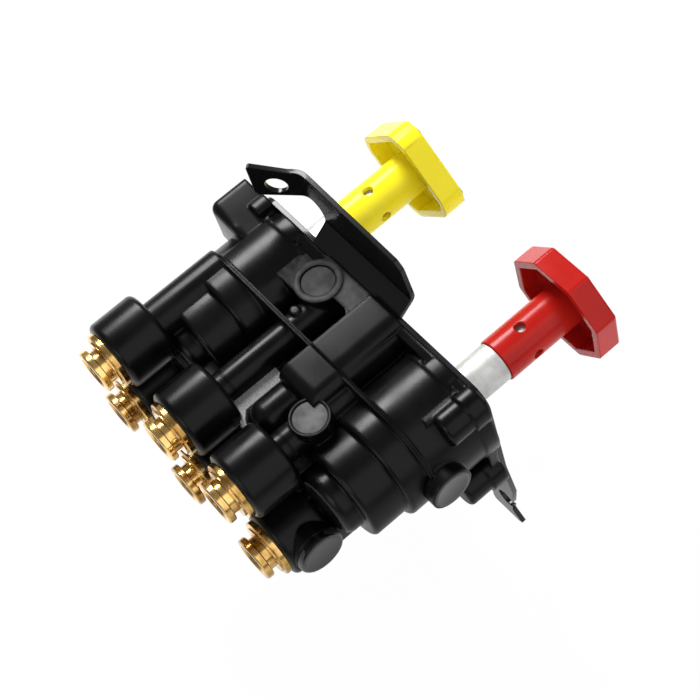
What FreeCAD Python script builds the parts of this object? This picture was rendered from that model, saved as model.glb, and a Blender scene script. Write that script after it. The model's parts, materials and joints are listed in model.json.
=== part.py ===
import FreeCAD, Part
import math
import os
import re
import Sketcher
from FreeCAD import Placement, Rotation, Vector

# Dash control valve with two push-pull plungers, all sizes in millimetres.
# Origin on the front face of the valve flange, midway between the plunger axes.
# X runs from the octagonal knob to the square knob, Y back to the tube ports, Z up.

doc = FreeCAD.newDocument("DashControlValve")

# Sizes
# One row for each size: alias, value, words.
SIZES = [
    ("park_x", 46.5, "plunger axis of the square knob"),
    ("supply_x", -46.5, "plunger axis of the octagonal knob"),
    ("travel", 13.0, "plunger travel"),
    ("fit", 0.05, "running clearance of guided pieces"),
    ("seal_gap", 0.02, "gap between a seal and its bore"),
    ("free_gap", 0.3, "gap between pieces that never touch"),
    # bracket
    ("sheet_t", 2.0, "bracket sheet thickness"),
    ("plate_half_x", 68.5, "bracket plate half width"),
    ("plate_top_z", 25.0, "bracket plate and flange upper edge"),
    ("plate_low_z", -41.0, "bracket plate and flange lower edge"),
    ("plate_corner", 9.0, "bracket plate corner radius"),
    ("stem_hole_r", 12.0, "stem hole in the bracket"),
    ("lug_left", -16.5, "upper lug end beside the octagonal knob"),
    ("lug_left_low", -18.5, "upper lug widest point"),
    ("lug_right", 34.0, "upper lug edge beside the square knob"),
    ("lug_offset", 8.25, "upper lug offset to the front"),
    ("lug_low_z", 31.0, "upper lug height after the joggle"),
    ("lug_mid_z", 34.0, "upper lug height of the widest point"),
    ("lug_top_z", 54.0, "upper lug top edge"),
    ("ear_x", 43.0, "fold line of the bent ear"),
    ("ear_low_z", 39.5, "bent ear lower edge"),
    ("ear_top_z", 58.4, "bent ear upper edge"),
    ("ear_long", 21.0, "bent ear length"),
    ("ear_turn", 41.3, "bent ear angle"),
    ("ear_hole_r", 4.75, "bent ear hole"),
    ("ear_hole_at", 11.0, "ear hole distance from the fold"),
    ("ear_hole_z", 46.2, "ear hole height"),
    ("ear_notch_r", 5.5, "rounded end of the gap beside the ear"),
    ("lug_round", 2.0, "upper lug corner radius"),
    ("fold_in_r", 7.0, "ear fold inside radius"),
    ("fold_out_r", 9.0, "ear fold outside radius"),
    ("bend_in_r", 2.5, "lug bend inside radius"),
    ("bend_out_r", 4.5, "lug bend outside radius"),
    ("tab_in_x", -55.0, "lower ear inner edge"),
    ("tab_out_x", -72.5, "lower ear outer edge"),
    ("tab_waist_x", -67.5, "lower ear waist"),
    ("tab_low_z", -77.8, "lower ear end"),
    ("tab_hole_x", -65.0, "lower ear hole position"),
    ("tab_hole_z", -64.0, "lower ear hole height"),
    ("tab_hole_r", 4.5, "lower ear hole"),
    ("screw_in", 5.0, "bracket screw distance from the side of the plate"),
    ("screw_top_z", 18.0, "upper bracket screws height"),
    ("screw_low_z", -33.0, "lower bracket screws height"),
    ("screw_r", 2.4, "screw shank"),
    ("screw_hole_r", 2.6, "screw hole in the bracket"),
    ("screw_bore_r", 2.42, "screw bore in the housing"),
    ("screw_long", 12.0, "screw length below the head"),
    ("screw_head_r", 4.4, "screw head radius"),
    ("screw_edge", 0.3, "screw head edge"),
    ("screw_key_r", 1.9, "screw drive socket radius"),
    ("screw_key_d", 1.2, "screw drive socket depth"),
    # housings
    ("flange_t", 4.5, "front flange thickness"),
    ("part_y", 30.8, "joint plane of the two housings"),
    ("rib_t", 1.0, "welding rib on each housing"),
    ("rib_r", 26.6, "welding rib radius about a plunger axis"),
    ("front_r", 25.3, "front barrel radius"),
    ("collar_r", 26.0, "front collar radius"),
    ("collar_y", 7.0, "front collar end"),
    ("barrel_a_r", 24.0, "rear barrel first step"),
    ("barrel_a_y", 43.0, "rear barrel first step end"),
    ("barrel_b_r", 21.0, "rear barrel second step"),
    ("barrel_b_y", 59.0, "rear barrel second step end"),
    ("barrel_c_r", 14.3, "rear barrel dome"),
    ("barrel_c_y", 67.0, "rear barrel dome end"),
    ("step_round", 2.0, "rounding of the barrel steps"),
    ("dome_round", 4.0, "rounding of the dome"),
    ("boss_r", 7.5, "screw boss radius"),
    ("boss_y", 18.6, "screw boss end"),
    ("boss_round", 2.0, "screw boss rounding"),
    ("boss_foot_r", 8.6, "screw boss foot radius"),
    ("boss_foot_y", 7.4, "screw boss foot end"),
    ("pad_out_x", 60.2, "outer side of the pad beside an upper boss"),
    ("pad_in_x", 57.3, "inner side of the pad beside an upper boss"),
    ("pad_y", 21.6, "rear end of the pad beside an upper boss"),
    ("pad_z", 24.0, "top of the pad beside an upper boss"),
    ("block_in_x", 58.0, "end block inner side"),
    ("block_out_x", 80.5, "end block outer side"),
    ("block_low_z", 1.0, "end block lower side"),
    ("block_top_z", 25.5, "end block upper side"),
    ("block_y", 19.0, "end block end"),
    ("block_round", 4.0, "end block rounding"),
    ("core_low_z", -16.0, "front core lower side"),
    ("core_top_z", 8.0, "front core upper side"),
    ("ridge_in_x", -3.0, "ridge side towards the pocket"),
    ("ridge_out_x", -25.0, "ridge foot on the other side"),
    ("ridge_top_z", 27.5, "ridge top"),
    ("ridge_round", 10.0, "ridge rounding"),
    ("ridge_y", 48.0, "ridge end"),
    ("ridge_nose", 6.0, "ridge nose rounding"),
    ("head_top_z", 26.0, "face around the front plug"),
    ("head_in_x", -3.5, "plug face left end"),
    ("head_out_x", 24.0, "plug face right end"),
    ("head_y", 11.0, "plug face depth"),
    ("ledge_in_x", 23.0, "ledge start"),
    ("ledge_out_x", 37.0, "ledge end"),
    ("ledge_y", 19.0, "ledge depth"),
    ("ledge_z", 22.5, "ledge top"),
    ("tower_a_x", 17.5, "front top plug position"),
    ("tower_a_y", 10.5, "front top plug position along the valve"),
    ("tower_a_r", 10.0, "front top plug tower radius"),
    ("tower_a_z", 26.6, "front top plug tower top"),
    ("stub_x", 15.7, "small stub position"),
    ("stub_y", 24.8, "small stub position along the valve"),
    ("stub_z", 23.5, "small stub top"),
    ("stub_r", 2.2, "small stub radius"),
    ("tower_b_x", -26.0, "rear top plug position"),
    ("tower_b_y", 50.7, "rear top plug position along the valve"),
    ("tower_b_r", 8.2, "rear top plug tower radius"),
    ("tower_b_z", 25.0, "rear top plug tower top"),
    ("side_z", -16.5, "rear side plug height"),
    ("side_c_z", 0.5, "front side plug height"),
    ("side_c_y", 27.0, "front side plug position along the valve"),
    ("side_c_x", -76.0, "front side plug face"),
    ("side_c_r", 9.4, "front side boss radius"),
    ("side_c_long", 12.0, "front side boss length"),
    ("side_d_back", 12.0, "rear side plug distance from the port boss face"),
    ("side_d_x", -52.5, "rear side plug face"),
    ("side_d_r", 9.2, "rear side boss radius"),
    ("web_low_z", -6.0, "rear web lower side"),
    ("web_top_z", 5.0, "rear web upper side"),
    ("tube_r", 7.0, "passage tube radius"),
    ("tube_big_r", 9.0, "passage tube radius beside the barrel"),
    ("tube_y", 69.0, "passage tubes run into the port bosses"),
    ("fat_x", -8.0, "domed passage position"),
    ("fat_z", 12.0, "domed passage height"),
    ("fat_r", 8.5, "domed passage radius"),
    ("fat_y", 66.0, "domed passage end"),
    ("fat_round", 6.0, "domed passage rounding"),
    # ports
    ("top_z", 15.6, "upper port row"),
    ("low_z", -20.3, "lower port row"),
    ("port_1_x", 57.2, "port 1 position"),
    ("port_2_x", 13.4, "port 2 position"),
    ("port_3_x", -23.7, "port 3 position"),
    ("port_4_x", 57.35, "port 4 position"),
    ("port_5_x", 10.9, "port 5 position"),
    ("port_6_x", -33.8, "port 6 position"),
    ("port_r", 15.5, "port boss radius"),
    ("port_in_y", 67.0, "port boss start"),
    ("port_y", 89.0, "port boss face"),
    ("port_round", 2.5, "port boss rounding"),
    ("port_bore_r", 11.0, "port cartridge bore"),
    ("port_bore_y", 71.0, "port cartridge bore bottom"),
    ("tube_seat_r", 6.6, "tube seat bore"),
    ("tube_seat_y", 63.0, "tube seat bottom"),
    ("flow_r", 4.0, "air passage radius"),
    # bores
    ("bore_r", 16.0, "plunger bore"),
    ("bore_in_y", 12.0, "plunger bore start behind the guide"),
    ("bore_y", 56.0, "plunger bore bottom"),
    ("pocket_r", 10.0, "return spring pocket"),
    ("pocket_y", 63.0, "return spring pocket bottom"),
    ("guide_r", 18.0, "guide counterbore"),
    ("exhaust_y", 21.0, "exhaust gallery position"),
    ("delivery_y", 35.5, "delivery hole position"),
    ("gallery_y", 45.5, "supply gallery position"),
    ("gallery_z", -0.8, "supply gallery height"),
    ("exhaust_z", -10.0, "exhaust gallery height"),
    ("hole_r", 2.8, "cross hole radius"),
    # plunger
    ("nose_r", 6.95, "plunger nose radius"),
    ("nose_y", -50.5, "plunger nose end"),
    ("hub_y", -21.8, "end of the knob hub"),
    ("stem_r", 8.7, "plunger stem radius"),
    ("land_a_y", 12.2, "front land start"),
    ("land_a_end", 17.4, "front land end"),
    ("land_b_y", 37.2, "rear land start"),
    ("land_b_end", 42.4, "rear land end"),
    ("neck_r", 7.0, "plunger neck radius"),
    ("tail_r", 5.0, "plunger tail radius"),
    ("tail_y", 47.0, "plunger tail end"),
    ("groove_w", 3.0, "ring groove width"),
    ("groove_r", 13.3, "ring groove floor"),
    ("ring_wire", 1.32, "plunger ring section radius"),
    ("spring_r", 7.6, "return spring mean radius"),
    ("spring_wire", 0.8, "return spring wire radius"),
    ("spring_halves", 9, "half turns of the return spring"),
    # guides
    ("guide_in_r", 8.75, "guide bore"),
    ("guide_front_y", 0.3, "guide front face"),
    ("guide_back_y", 11.95, "guide rear face"),
    ("guide_ring_y", 7.0, "guide ring groove position"),
    ("guide_groove_r", 15.6, "guide ring groove floor"),
    ("guide_ring_wire", 1.12, "guide ring section radius"),
    ("wiper_r", 11.0, "wiper seat radius"),
    ("wiper_front_y", 2.0, "wiper seat front"),
    ("wiper_back_y", 6.0, "wiper seat back"),
    # knobs
    ("knob_front_y", -64.5, "knob front face"),
    ("knob_back_y", -54.0, "knob rear edge"),
    ("knob_skin", 3.0, "knob front thickness"),
    ("knob_wall", 3.2, "knob rim thickness"),
    ("hub_r", 9.5, "knob hub radius"),
    ("hub_bore_r", 7.0, "knob hub bore"),
    ("pin_y", -35.6, "cross hole position in the hub"),
    ("cross_r", 2.3, "cross hole radius in the hub"),
    ("pin_r", 2.28, "knob pin radius"),
    ("pin_long", 15.0, "knob pin length"),
    ("octagon", 23.8, "octagonal knob half width across flats"),
    ("square_half", 21.0, "square knob half width across flats"),
    ("square_cut", 26.0, "square knob cut corner distance"),
    ("square_turn", 0.0, "square knob turn about its axis"),
    ("corner_turn", 45.0, "turn of the cut corners from the square"),
    ("octagon_turn", 22.5, "octagonal knob turn about its axis"),
    ("rim_round", 1.2, "knob rim rounding"),
    # port pieces
    ("collar_in_y", 77.0, "port collar start"),
    ("collar_body_r", 10.95, "port collar body radius"),
    ("collar_face_r", 12.8, "port collar flange radius"),
    ("collar_face_y", 91.5, "port collar flange end"),
    ("collar_step_r", 10.8, "port collar outer step radius"),
    ("collar_step_y", 92.3, "port collar outer step end"),
    ("collar_room_r", 9.0, "port collar inner room"),
    ("collar_room_y", 87.0, "port collar inner room end"),
    ("collar_lip_r", 7.6, "port collar mouth"),
    ("collet_neck_r", 7.5, "release collet neck"),
    ("collet_in_y", 80.0, "release collet inner end"),
    ("collet_catch_r", 8.5, "release collet catch"),
    ("collet_catch_y", 81.5, "release collet catch end"),
    ("collet_face_y", 95.2, "release collet flange start"),
    ("collet_end_y", 98.4, "release collet outer face"),
    ("collet_face_r", 9.6, "release collet flange radius"),
    ("collet_bore_r", 6.45, "release collet tube bore"),
    ("grip_y", 75.6, "grip ring start"),
    ("grip_t", 1.2, "grip ring thickness"),
    ("grip_in_r", 6.5, "grip ring hole"),
    ("tube_ring_r", 8.65, "tube seal mean radius"),
    ("tube_ring_wire", 2.1, "tube seal section radius"),
    ("tube_ring_y", 73.3, "tube seal position"),
    # plugs and small pieces
    ("plug_a_r", 7.2, "front top plug head radius"),
    ("plug_b_r", 7.4, "rear top plug head radius"),
    ("plug_c_r", 7.4, "front side plug head radius"),
    ("plug_d_r", 6.8, "rear side plug head radius"),
    ("plug_t", 2.5, "plug head thickness"),
    ("plug_sink", 0.6, "plug head depth below its rim"),
    ("plug_seat_r", 5.0, "plug shank bore"),
    ("small_seat_r", 2.8, "shank bore of the front side plug"),
    ("line_c_r", 1.5, "bleed line behind the front side plug"),
    ("groove_depth", 1.4, "plug groove depth"),
    ("plug_room", 0.05, "clearance around a plug"),
    ("plug_long", 5.0, "side plug shank length"),
    ("plug_d_long", 2.4, "rear side plug shank length"),
    ("plug_a_long", 5.5, "front top plug shank length"),
    ("plug_b_long", 3.0, "rear top plug shank length"),
    ("plug_groove_w", 1.6, "plug groove width"),
    ("plug_ring_wire", 0.68, "plug ring section radius"),
    ("shuttle_r", 4.95, "check shuttle radius"),
    ("shuttle_low_z", -5.5, "check shuttle lower end"),
    ("shuttle_top_z", 4.5, "check shuttle upper end"),
    ("shuttle_slot", 3.6, "check shuttle waist radius"),
    ("bore_a_low_z", -9.0, "check bore bottom"),
    ("stop_a_z", 8.0, "lower end of the stop under the front top plug"),
    ("stop_a_r", 1.6, "stop radius under the front top plug"),
    ("poppet_r", 4.95, "interlock poppet radius"),
    ("poppet_low_z", 8.3, "interlock poppet lower end"),
    ("poppet_mid_z", 11.3, "interlock poppet shoulder"),
    ("poppet_top_z", 14.0, "interlock poppet upper end"),
    ("poppet_stem_r", 2.0, "interlock poppet stem radius"),
    ("bore_b_low_z", 8.0, "interlock bore bottom"),
    ("small_spring_r", 3.2, "interlock spring mean radius"),
    ("small_wire", 0.4, "interlock spring wire radius"),
    ("small_halves", 7, "half turns of the interlock spring"),
]

sheet = doc.addObject("Spreadsheet::Sheet", "Sizes")
for row, (alias, value, words) in enumerate(SIZES, start=1):
    sheet.set("A%d" % row, words)
    sheet.set("B%d" % row, "%s" % value)
    sheet.setAlias("B%d" % row, alias)
doc.recompute()
NAMES = set(alias for alias, value, words in SIZES)
TURNS = {
    "X": Rotation(Vector(0, 1, 0), 90),
    "Y": Rotation(Vector(1, 0, 0), -90),
    "Z": Rotation(),
    "up": Rotation(Vector(1, 0, 0), 90),
    "left": Rotation(Vector(0, 0, 1), 90),
}
SCREW_X = "(plate_half_x - screw_in)"
SIDE_D_Y = "(port_y - side_d_back)"
counter = {}


# Helpers
def bound(text):
    """Put the sheet name before every size in an expression."""
    def swap(match):
        word = match.group(0)
        return "Sizes." + word if word in NAMES else word
    return re.sub(r"[a-z][a-z_0-9]*", swap, str(text))


def fresh(name):
    """Give a construction object its own number."""
    counter[name] = counter.get(name, 0) + 1
    return "%s_%02d" % (name, counter[name])


def bind(thing, prop, text):
    thing.setExpression(prop, bound(text))


def place(thing, at, axis="Z"):
    thing.Placement = Placement(Vector(0, 0, 0), TURNS[axis])
    for letter, text in zip("xyz", at):
        bind(thing, "Placement.Base." + letter, text)
    return thing


def cylinder(name, radius, length, at, axis="Z"):
    thing = doc.addObject("Part::Cylinder", fresh(name))
    bind(thing, "Radius", radius)
    bind(thing, "Height", length)
    return place(thing, at, axis)


def box(name, x0, x1, y0, y1, z0, z1):
    thing = doc.addObject("Part::Box", fresh(name))
    bind(thing, "Length", "(%s) - (%s)" % (x1, x0))
    bind(thing, "Width", "(%s) - (%s)" % (y1, y0))
    bind(thing, "Height", "(%s) - (%s)" % (z1, z0))
    return place(thing, (x0, y0, z0))


def prism(name, sides, half, length, at, turn):
    """Regular prism along Y from its half width across flats."""
    thing = doc.addObject("Part::Prism", fresh(name))
    thing.Polygon = sides
    bind(thing, "Circumradius", "(%s) / cos(180 deg / %d)" % (half, sides))
    bind(thing, "Height", length)
    place(thing, at, "Y")
    thing.Placement.Rotation = TURNS["Y"] * Rotation(Vector(0, 0, 1), turn)
    return thing


def torus(name, radius, wire, at, axis="Y"):
    thing = doc.addObject("Part::Torus", fresh(name))
    bind(thing, "Radius1", radius)
    bind(thing, "Radius2", wire)
    return place(thing, at, axis)


def fuse(name, shapes, refine=True):
    thing = doc.addObject("Part::MultiFuse", fresh(name))
    thing.Shapes = shapes
    thing.Refine = refine
    return thing


def cut(name, base, tool):
    thing = doc.addObject("Part::Cut", fresh(name))
    thing.Base = base
    thing.Tool = tool
    return thing


def common(name, base, tool):
    thing = doc.addObject("Part::Common", fresh(name))
    thing.Base = base
    thing.Tool = tool
    return thing


def rounded(name, base, radius, chosen):
    """Round the edges of a simple solid that the test picks."""
    doc.recompute()
    picked = [n + 1 for n, edge in enumerate(base.Shape.Edges) if chosen(edge)]
    value = sheet.get(radius)
    thing = doc.addObject("Part::Fillet", fresh(name))
    thing.Base = base
    thing.Edges = [(n, float(value), float(value)) for n in picked]
    return thing


def ring_edge(*levels):
    """Pick the circles of a cylinder along Y at the given levels."""
    def test(edge):
        circle = hasattr(edge.Curve, "Radius")
        middle = edge.BoundBox.Center.y
        return circle and any(abs(middle - size(level)) < 0.01 for level in levels)
    return test


def line_edge(direction):
    """Pick straight edges along one direction."""
    def test(edge):
        if hasattr(edge.Curve, "Radius"):
            return False
        span = edge.BoundBox
        lengths = {"X": span.XLength, "Y": span.YLength, "Z": span.ZLength}
        own = lengths.pop(direction)
        return own > 0.5 and max(lengths.values()) < 0.01
    return test


def either(*tests):
    return lambda edge: any(test(edge) for test in tests)


def size(alias):
    return float(sheet.get(alias))


def outline(body, plane, points, name):
    """Closed sketch through points whose two values are expressions."""
    sketch = doc.addObject("Sketcher::SketchObject", fresh(name))
    body.addObject(sketch)
    base = [f for f in body.Origin.OriginFeatures if f.Role == plane][0]
    sketch.AttachmentSupport = [(base, "")]
    sketch.MapMode = "FlatFace"
    sheet_values = [(value_of(u), value_of(v)) for u, v in points]
    count = len(points)
    for n in range(count):
        start = Vector(*sheet_values[n], 0)
        end = Vector(*sheet_values[(n + 1) % count], 0)
        sketch.addGeometry(Part.LineSegment(start, end), False)
    for n in range(count):
        sketch.addConstraint(Sketcher.Constraint("Coincident", n, 2, (n + 1) % count, 1))
    for n, (u, v) in enumerate(points):
        for kind, text, value in (("DistanceX", u, sheet_values[n][0]),
                                  ("DistanceY", v, sheet_values[n][1])):
            k = sketch.addConstraint(Sketcher.Constraint(kind, -1, 1, n, 1, value))
            sketch.setExpression("Constraints[%d]" % k, bound(text))
    return sketch


def value_of(text):
    """Read a sum or difference of sizes and numbers."""
    total = 0.0
    for sign, word in re.findall(r"([+-]?)\s*([a-z_0-9.]+)", str(text)):
        amount = size(word) if word in NAMES else float(word)
        total += -amount if sign == "-" else amount
    return total


def revolved(name, points, at):
    """Solid of revolution about a line along Y: points are radius and Y."""
    body = doc.addObject("PartDesign::Body", fresh(name))
    sketch = outline(body, "XY_Plane", points, name + "_profile")
    turn = doc.addObject("PartDesign::Revolution", fresh(name + "_turned"))
    body.addObject(turn)
    turn.Profile = sketch
    turn.ReferenceAxis = (sketch, ["V_Axis"])
    turn.Angle = 360
    body.Tip = turn
    return place(body, at)


def padded(name, plane, points, length, at):
    """Straight solid with a drawn outline."""
    body = doc.addObject("PartDesign::Body", fresh(name))
    sketch = outline(body, plane, points, name + "_outline")
    pad = doc.addObject("PartDesign::Pad", fresh(name + "_pad"))
    body.addObject(pad)
    pad.Profile = sketch
    bind(pad, "Length", length)
    body.Tip = pad
    return place(body, at)


def coil(name, radius, wire, halves, height, at, axis):
    """Spring wire bent in half turns; each half ring leans by its share of the height."""
    lean = "(%s) / (2 * %s)" % (height, halves)
    half = doc.addObject("Part::Torus", fresh(name + "_half"))
    bind(half, "Radius1", "sqrt((%s)^2 + (%s)^2)" % (radius, lean))
    bind(half, "Radius2", wire)
    half.Angle3 = 180
    half.Placement = Placement(Vector(0, 0, 0), Rotation(Vector(0, 1, 0), 1))
    bind(half, "Placement.Rotation.Angle", "atan((%s) / (%s))" % (lean, radius))
    turns = []
    for step in range(int(size(halves))):
        turned = doc.addObject("Part::Compound", fresh(name + "_turn"))
        turned.Links = [half]
        turned.Placement = Placement(Vector(0, 0, 0), Rotation(Vector(0, 0, 1), 180 * step))
        bind(turned, "Placement.Base.z", "(%s) * %d" % (lean, 2 * step + 1))
        turns.append(turned)
    return place(fuse(name, turns), at, axis)


def group(name, shapes):
    thing = doc.addObject("Part::Compound", fresh(name))
    thing.Links = shapes
    return thing


parts = {}


def keep(node, thing):
    thing.Label = node
    parts[node] = thing
    return thing


PORTS = [
    ("1", "port_1_x", "top_z"),
    ("2", "port_2_x", "top_z"),
    ("3", "port_3_x", "top_z"),
    ("4", "port_4_x", "low_z"),
    ("5", "port_5_x", "low_z"),
    ("6", "port_6_x", "low_z"),
]
PLUNGERS = [("park", "park_x"), ("supply", "supply_x")]
SCREWS = [(side, level) for side in ("", "-") for level in ("screw_top_z", "screw_low_z")]

# Mounting bracket
def in_ear_frame(shape):
    """Turn a shape about the fold line of the ear."""
    shape.Placement = Placement(Vector(0, 0, 0), Rotation(Vector(0, 0, 1), size("ear_turn")))
    bind(shape, "Placement.Base.x", "ear_x")
    bind(shape, "Placement.Base.y", "-lug_offset")
    bind(shape, "Placement.Rotation.Angle", "ear_turn")
    return shape


def fold_edge(x, y):
    """Pick the upright edge of a fold."""
    return lambda edge: (line_edge("Z")(edge) and abs(edge.BoundBox.Center.x - x) < 0.1
                         and abs(edge.BoundBox.Center.y - y) < 0.01)


plate = box("bracket_plate", "-plate_half_x", "plate_half_x", "-sheet_t", "0",
            "plate_low_z", "plate_top_z")
plate = rounded("bracket_corners", plate, "plate_corner", line_edge("Y"))
joggle = padded("bracket_joggle", "YZ_Plane", [
    ("-sheet_t", "plate_top_z-0.5"),
    ("0", "plate_top_z-0.5"),
    ("0", "plate_top_z"),
    ("-lug_offset", "lug_low_z"),
    ("-lug_offset", "lug_low_z+1"),
    ("-lug_offset-sheet_t", "lug_low_z+1"),
    ("-lug_offset-sheet_t", "lug_low_z-0.7"),
    ("-sheet_t", "plate_top_z-0.7"),
], "lug_right - lug_left_low", ("lug_left_low", "0", "0"))
strip = padded("bracket_strip", "XZ_Plane", [
    ("lug_left_low", "lug_low_z"),
    ("lug_left_low", "lug_mid_z"),
    ("lug_left", "lug_top_z-5"),
    ("lug_left+3", "lug_top_z-2"),
    ("ear_x-5", "lug_top_z+1"),
    ("ear_x+5", "lug_top_z+1"),
    ("ear_x+5", "ear_low_z"),
    ("lug_right", "ear_low_z"),
    ("lug_right", "lug_low_z"),
], "sheet_t", ("0", "-lug_offset", "0"))
strip = rounded("bracket_strip_corners", strip, "lug_round", lambda edge:
                line_edge("Y")(edge) and edge.BoundBox.Center.x < size("lug_right") - 1
                and edge.BoundBox.Center.z > size("lug_low_z") + 0.5)
strip = rounded("bracket_gap_end", strip, "ear_notch_r", lambda edge:
                line_edge("Y")(edge)
                and abs(edge.BoundBox.Center.x - size("lug_right")) < 0.01
                and abs(edge.BoundBox.Center.z - size("ear_low_z")) < 0.01)
behind_fold = in_ear_frame(group("bracket_behind_fold", [
    box("bracket_behind_ear", "-90", "90", "-sheet_t", "60", "0", "90")]))
strip = common("bracket_strip_mitre", strip, behind_fold)
ear = padded("bracket_ear", "XZ_Plane", [
    ("-5", "ear_low_z"),
    ("ear_long-2", "ear_low_z"),
    ("ear_long", "ear_low_z+2"),
    ("ear_long", "ear_top_z-1"),
    ("ear_long-1", "ear_top_z"),
    ("5", "lug_top_z+1"),
    ("-5", "lug_top_z+1"),
], "sheet_t", ("0", "0", "0"))
ear_hole = cylinder("bracket_ear_hole", "ear_hole_r", "sheet_t + 2",
                    ("ear_hole_at", "-sheet_t - 1", "ear_hole_z"), "Y")
ear = in_ear_frame(cut("bracket_ear_open", ear, ear_hole))
ear = common("bracket_ear_mitre", ear, box("bracket_behind_strip", "0", "150",
                                           "-lug_offset - sheet_t", "60", "0", "90"))
tab = padded("bracket_tab", "XZ_Plane", [
    ("tab_in_x", "plate_low_z+2"),
    ("-plate_half_x", "plate_low_z+9"),
    ("-plate_half_x-3", "-50"),
    ("tab_waist_x", "-71.5"),
    ("tab_out_x", "tab_low_z+1"),
    ("tab_out_x+2", "tab_low_z"),
    ("tab_in_x-1", "tab_low_z"),
    ("tab_in_x", "tab_low_z+2"),
], "sheet_t", ("0", "0", "0"))
lug = fuse("bracket_lug", [strip, ear])
fold_out_x = size("ear_x") + size("sheet_t") * math.tan(math.radians(size("ear_turn") / 2))
lug = rounded("bracket_fold_inside", lug, "fold_in_r",
              fold_edge(size("ear_x"), -size("lug_offset")))
lug = rounded("bracket_fold_outside", lug, "fold_out_r",
              fold_edge(fold_out_x, -size("lug_offset") - size("sheet_t")))
lug = fuse("bracket_lug_joggle", [lug, joggle])
lug = rounded("bracket_bend_inside", lug, "bend_in_r", lambda edge:
              line_edge("X")(edge) and abs(edge.BoundBox.Center.z - size("lug_low_z")) < 0.01
              and abs(edge.BoundBox.Center.y + size("lug_offset")) < 0.01)
lug = rounded("bracket_bend_outside", lug, "bend_out_r", lambda edge:
              line_edge("X")(edge) and abs(edge.BoundBox.Center.z - size("lug_low_z")) < 1
              and abs(edge.BoundBox.Center.y + size("lug_offset") + size("sheet_t")) < 0.01)
bracket = fuse("bracket_blank", [plate, lug, tab])
openings = [cylinder("bracket_stem_hole", "stem_hole_r", "sheet_t + 2",
                     (x, "-sheet_t - 1", "0"), "Y") for name, x in PLUNGERS]
openings += [revolved("bracket_screw_hole", [
    ("0", "-sheet_t-1"), ("screw_head_r+fit", "-sheet_t-1"),
    ("screw_head_r+fit", "-sheet_t+screw_edge"), ("screw_hole_r", "-screw_edge"),
    ("screw_hole_r", "1"), ("0", "1"),
], (side + SCREW_X, "0", level)) for side, level in SCREWS]
openings.append(cylinder("bracket_tab_hole", "tab_hole_r", "sheet_t + 2",
                         ("tab_hole_x", "-sheet_t - 1", "tab_hole_z"), "Y"))
keep("mounting_bracket", cut("bracket", bracket, fuse("bracket_openings", openings)))

# Bores shared by both housings
bores = []
for name, x in PLUNGERS:
    bores += [
        cylinder("guide_bore", "guide_r", "bore_in_y + 1", (x, "-1", "0"), "Y"),
        cylinder("main_bore", "bore_r", "bore_y - bore_in_y + 1", (x, "bore_in_y - 1", "0"), "Y"),
        cylinder("spring_pocket", "pocket_r", "pocket_y - bore_y + 1", (x, "bore_y - 1", "0"), "Y"),
    ]
bores.append(cylinder("supply_gallery", "hole_r", "park_x - supply_x",
                      ("supply_x", "gallery_y", "gallery_z"), "X"))
bores.append(cylinder("exhaust_gallery", "hole_r", "park_x - supply_x",
                      ("supply_x", "exhaust_y", "exhaust_z"), "X"))
bores.append(cylinder("check_bore", "plug_seat_r", "tower_a_z - bore_a_low_z + 1",
                      ("tower_a_x", "tower_a_y", "bore_a_low_z")))
bores.append(cylinder("check_outlet", "hole_r - 0.4", "gallery_y - tower_a_y",
                      ("tower_a_x", "tower_a_y", "gallery_z"), "Y"))
bores.append(cylinder("check_inlet", "hole_r", "tube_seat_y - tower_a_y",
                      ("tower_a_x - 4", "tower_a_y", "top_z - 1"), "Y"))
bores.append(cylinder("exhaust_riser", "hole_r - 0.4", "exhaust_z - low_z",
                      ("port_5_x", "exhaust_y", "low_z")))
bores.append(cylinder("exhaust_line", "hole_r", "tube_seat_y - exhaust_y",
                      ("port_5_x", "exhaust_y", "low_z"), "Y"))

# Front housing
flange = box("flange", "-plate_half_x", "plate_half_x", "0", "flange_t",
             "plate_low_z", "plate_top_z")
solids = [rounded("flange_corners", flange, "plate_corner", line_edge("Y"))]
for name, x in PLUNGERS:
    ring = cylinder("front_collar", "collar_r", "collar_y", (x, "0", "0"), "Y")
    solids.append(rounded("front_collar_edge", ring, "rim_round", ring_edge("collar_y")))
    solids.append(cylinder("front_barrel", "front_r", "part_y", (x, "0", "0"), "Y"))
    solids.append(cylinder("front_rib", "rib_r", "rib_t", (x, "part_y - rib_t", "0"), "Y"))
solids.append(box("front_rib_plate", "supply_x", "park_x", "part_y - rib_t", "part_y",
                  "-rib_r", "rib_r"))
solids.append(box("front_core", "supply_x", "park_x", "0", "part_y", "core_low_z", "core_top_z"))
for side, level in SCREWS:
    post = cylinder("screw_boss", "boss_r", "boss_y",
                    (side + SCREW_X, "0", level), "Y")
    solids.append(rounded("screw_boss_end", post, "boss_round", ring_edge("boss_y")))
    solids.append(cylinder("screw_boss_foot", "boss_foot_r", "boss_foot_y",
                           (side + SCREW_X, "0", level), "Y"))
solids.append(box("boss_pad", "-pad_out_x", "-pad_in_x", "0", "pad_y", "screw_top_z", "pad_z"))
block = box("end_block", "block_in_x", "block_out_x", "0", "block_y",
            "block_low_z", "block_top_z")
solids.append(rounded("end_block_edges", block, "block_round", either(
    lambda edge: line_edge("Y")(edge) and edge.BoundBox.Center.x > size("plate_half_x") - size("screw_in"),
    lambda edge: not line_edge("Y")(edge) and edge.BoundBox.Center.y > size("boss_y"))))
ridge = box("front_ridge", "ridge_out_x", "ridge_in_x", "0", "part_y",
            "core_top_z - 1", "ridge_top_z")
solids.append(rounded("front_ridge_edge", ridge, "ridge_round", lambda edge:
              line_edge("Y")(edge) and edge.BoundBox.Center.z > size("ledge_z")
              and edge.BoundBox.Center.x < size("ridge_in_x") - 1))
solids.append(box("plug_face", "head_in_x", "head_out_x", "0", "head_y",
                  "core_top_z - 1", "head_top_z"))
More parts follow.
